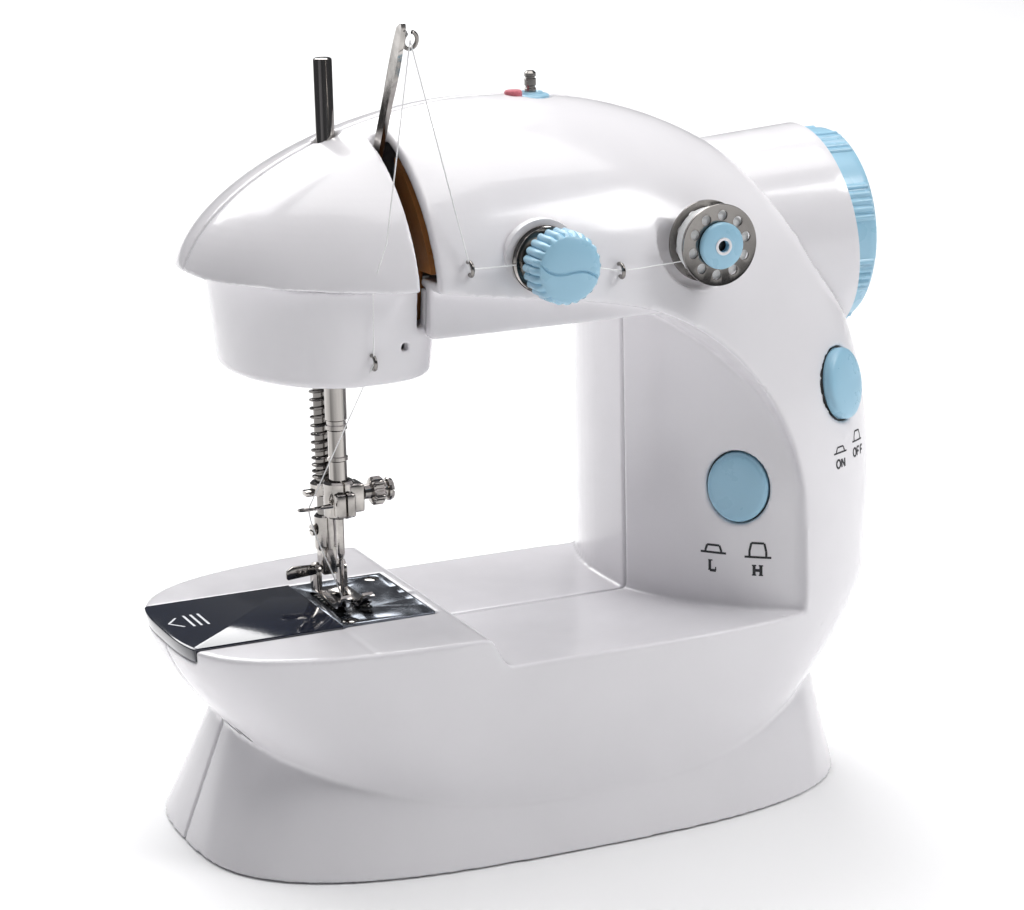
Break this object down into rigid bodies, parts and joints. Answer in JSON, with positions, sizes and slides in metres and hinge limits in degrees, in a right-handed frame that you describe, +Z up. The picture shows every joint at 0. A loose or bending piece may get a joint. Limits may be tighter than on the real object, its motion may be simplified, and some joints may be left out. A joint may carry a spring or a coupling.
{
  "type": "mini sewing machine",
  "caption": "Small electric sewing machine with a boat-shaped base, a C-shaped arm, take-up lever, tension knob, bobbin winder, handwheel and push buttons.",
  "frame": {"origin": "centre of the overall bounding box, on the surface the machine stands on", "axes": "+Z up, +X towards the handwheel, -Y towards the person sewing"},
  "size_m": [0.194, 0.1136, 0.2083],
  "materials": {
    "white_plastic": "gloss",
    "blue_plastic": "satin",
    "navy_plastic": "polished",
    "plate_steel": "brushed",
    "bright_chrome": "polished",
    "amber_frame": "satin",
    "black_rubber": "matte",
    "black_plastic": "matte",
    "grey_frame": "cast",
    "board_green": "satin"
  },
  "bodies": {
    "machine": {"front_shell": "white_plastic", "rear_shell": "white_plastic", "head_skirt": "white_plastic", "wheel_shroud": "white_plastic", "base_plate": "white_plastic", "battery_holder": "black_plastic", "foot_front_left": "black_rubber", "foot_rear_left": "black_rubber", "foot_front_right": "black_rubber", "foot_rear_right": "black_rubber", "needle_plate": "plate_steel", "lower_frame": "grey_frame", "motor": "plate_steel", "chassis": "amber_frame", "presser_spring": "bright_chrome", "tension_stud": "plate_steel", "tension_disc_rear": "bright_chrome", "tension_disc_front": "bright_chrome", "tension_spring": "plate_steel", "thread_guide_left": "plate_steel", "thread_guide_right": "plate_steel", "thread_guide_head": "plate_steel", "upper_thread": "white_plastic", "spool_base": "blue_plastic", "dc_jack": "black_plastic", "pedal_jack": "black_plastic", "circuit_board": "board_green", "drive_belt": "black_rubber", "motor_belt": "black_rubber"},
    "battery_cover": {"battery_door": "white_plastic"},
    "bobbin_cover": {"slide_cover": "navy_plastic"},
    "feeder": {"feed_dog": "plate_steel"},
    "lower_drive": {"lower_shaft": "plate_steel", "lower_pulley": "black_plastic", "shuttle_hook": "bright_chrome"},
    "under_bobbin": {"lower_bobbin": "plate_steel"},
    "upper_drive": {"main_shaft": "plate_steel", "upper_pulley": "black_plastic", "wheel_pulley": "black_plastic", "handwheel": "blue_plastic", "crank_disc": "plate_steel"},
    "motor_rotor": {"motor_pulley": "black_plastic"},
    "needle_carrier": {"needle_bar": "bright_chrome", "needle_bar_yoke": "plate_steel", "needle_clamp": "bright_chrome", "needle": "bright_chrome"},
    "needle_screw": {"clamp_screw": "bright_chrome"},
    "thread_lever": {"take_up_lever": "bright_chrome"},
    "presser_rod": {"presser_bar": "bright_chrome", "presser_collar": "bright_chrome", "foot_shank": "bright_chrome"},
    "lifting_lever": {"presser_lifter": "black_plastic"},
    "foot": {"presser_foot": "bright_chrome"},
    "tension_dial": {"tension_knob": "blue_plastic"},
    "winder": {"winder_spindle": "plate_steel", "winder_bobbin": "plate_steel", "winder_hub": "blue_plastic"},
    "thread_pin": {"spool_pin": "bright_chrome"},
    "speed_switch": {"speed_button": "blue_plastic"},
    "power_switch": {"power_button": "blue_plastic"}
  },
  "joints": [
    {"name": "wheel_turn", "type": "hinge", "parent": "machine", "child": "upper_drive", "pos_m": [0.092, 0.00321, 0.142], "axis": [1, 0, 0], "continuous": true},
    {"name": "lower_turn", "type": "hinge", "parent": "machine", "child": "lower_drive", "pos_m": [0.032, 0.00321, 0.038], "axis": [1, 0, 0], "continuous": true},
    {"name": "bobbin_turn", "type": "hinge", "parent": "machine", "child": "under_bobbin", "pos_m": [-0.06, 0.00321, 0.038], "axis": [1, 0, 0], "continuous": true},
    {"name": "motor_turn", "type": "hinge", "parent": "machine", "child": "motor_rotor", "pos_m": [0.079, 0.01321, 0.088], "axis": [1, 0, 0], "continuous": true},
    {"name": "needle_slide", "type": "slide", "parent": "machine", "child": "needle_carrier", "axis": [0, 0, 1], "range_m": [0, 0.022]},
    {"name": "needle_screw_turn", "type": "hinge", "parent": "needle_carrier", "child": "needle_screw", "pos_m": [-0.038, 0.00321, 0.0854], "axis": [1, 0, 0], "range_deg": [-180, 180]},
    {"name": "take_up_swing", "type": "hinge", "parent": "machine", "child": "thread_lever", "pos_m": [-0.04, 0.01521, 0.1294], "axis": [1, 0, 0], "range_deg": [0, 35]},
    {"name": "feed_slide", "type": "slide", "parent": "machine", "child": "feeder", "axis": [0, 1, 0], "range_m": [0, 0.0018]},
    {"name": "presser_slide", "type": "slide", "parent": "machine", "child": "presser_rod", "axis": [0, 0, 1], "range_m": [0, 0.005], "stiffness_N_per_m": 60, "springref_m": -0.004, "deforming": ["presser_spring"]},
    {"name": "foot_tilt", "type": "hinge", "parent": "presser_rod", "child": "foot", "pos_m": [-0.0483, 0.01301, 0.064], "axis": [1, 0, 0], "range_deg": [-10, 0]},
    {"name": "lifter_swing", "type": "hinge", "parent": "machine", "child": "lifting_lever", "pos_m": [-0.0483, 0.02721, 0.133], "axis": [1, 0, 0], "range_deg": [0, 25]},
    {"name": "tension_turn", "type": "hinge", "parent": "machine", "child": "tension_dial", "pos_m": [-0.01, -0.05179, 0.15], "axis": [0, 1, 0], "range_deg": [-270, 270]},
    {"name": "winder_turn", "type": "hinge", "parent": "machine", "child": "winder", "pos_m": [0.035, -0.04279, 0.15], "axis": [0, 1, 0], "continuous": true},
    {"name": "spool_pin_raise", "type": "slide", "parent": "machine", "child": "thread_pin", "axis": [0, 0, 1], "range_m": [0, 0.03]},
    {"name": "cover_slide", "type": "slide", "parent": "machine", "child": "bobbin_cover", "axis": [-1, 0, 0], "range_m": [0, 0.045]},
    {"name": "battery_door_swing", "type": "hinge", "parent": "machine", "child": "battery_cover", "pos_m": [-0.0457, 0.00321, 0.0012], "axis": [0, 1, 0], "range_deg": [0, 90]},
    {"name": "speed_press", "type": "slide", "parent": "machine", "child": "speed_switch", "axis": [0.6691, 0.7431, 0], "range_m": [0, 0.0016], "stiffness_N_per_m": 300, "springref_m": -0.001},
    {"name": "power_press", "type": "slide", "parent": "machine", "child": "power_switch", "axis": [-0.5087, 0.8466, -0.1564], "range_m": [0, 0.0016], "stiffness_N_per_m": 300, "springref_m": -0.001}
  ],
  "couplings": [
    {"joint": "lower_turn", "follows": "wheel_turn", "ratio": 1},
    {"joint": "motor_turn", "follows": "wheel_turn", "ratio": 2.8},
    {"joint": "take_up_swing", "follows": "needle_slide", "rad_per_m": 27.687},
    {"joint": "lifter_swing", "follows": "presser_slide", "rad_per_m": 86.917},
    {"joint": "feed_slide", "follows": "needle_slide", "ratio": 0.08182}
  ]
}
